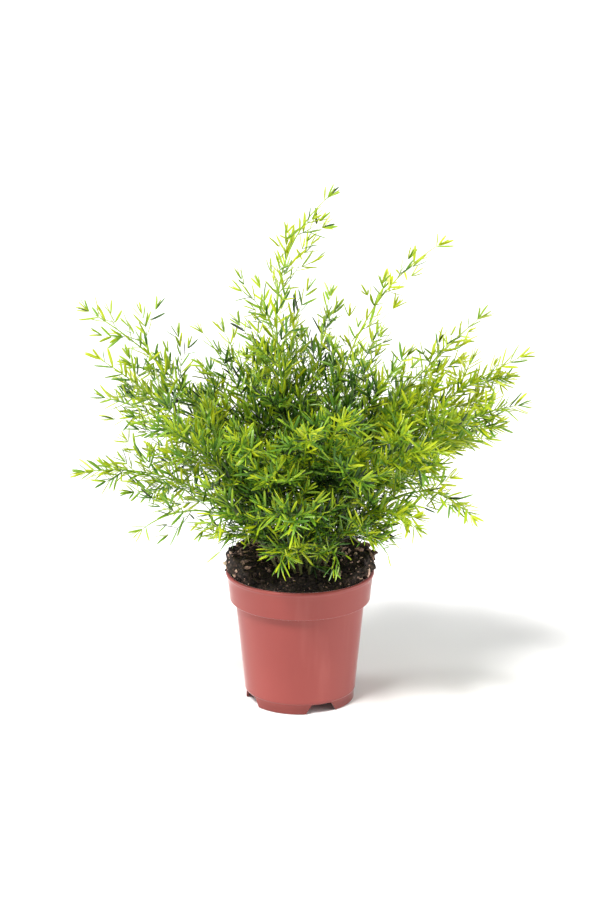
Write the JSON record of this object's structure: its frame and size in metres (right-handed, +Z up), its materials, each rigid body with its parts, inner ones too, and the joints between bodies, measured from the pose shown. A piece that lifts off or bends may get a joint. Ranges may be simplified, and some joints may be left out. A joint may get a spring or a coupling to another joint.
{
  "type": "potted asparagus fern",
  "caption": "Bushy foliage plant with arching, needle-leaved fronds growing from heaped compost in a round, tapered plastic nursery pot with a notched foot ring.",
  "frame": {"origin": "on the pot's axis at the level the pot's feet stand on", "axes": "+Z up along the pot's axis, -Y towards the front, +X to the right seen from the front"},
  "size_m": [0.3472, 0.2512, 0.4141],
  "materials": {
    "pot_plastic": "moulded terracotta-coloured plastic, satin",
    "compost": "loose damp peat and bark compost with pale fibres",
    "foliage": "wiry green stems with fine flat needles, lime at the tips and dark green inside"
  },
  "bodies": {
    "root": {"pot": "pot_plastic", "compost": "compost", "frond_01": "foliage", "frond_02": "foliage", "frond_03": "foliage", "frond_04": "foliage", "frond_05": "foliage", "frond_06": "foliage", "frond_07": "foliage", "frond_08": "foliage", "frond_09": "foliage", "frond_10": "foliage", "frond_11": "foliage", "frond_12": "foliage", "frond_13": "foliage", "frond_14": "foliage", "frond_15": "foliage", "frond_16": "foliage", "frond_17": "foliage", "frond_18": "foliage", "frond_19": "foliage", "frond_20": "foliage", "frond_21": "foliage", "frond_22": "foliage", "frond_23": "foliage", "frond_24": "foliage", "frond_25": "foliage", "frond_26": "foliage", "frond_27": "foliage", "frond_28": "foliage", "frond_29": "foliage", "frond_30": "foliage", "frond_31": "foliage", "frond_32": "foliage", "frond_33": "foliage", "frond_34": "foliage", "frond_35": "foliage", "frond_36": "foliage", "frond_37": "foliage", "frond_38": "foliage"}
  },
  "joints": []
}
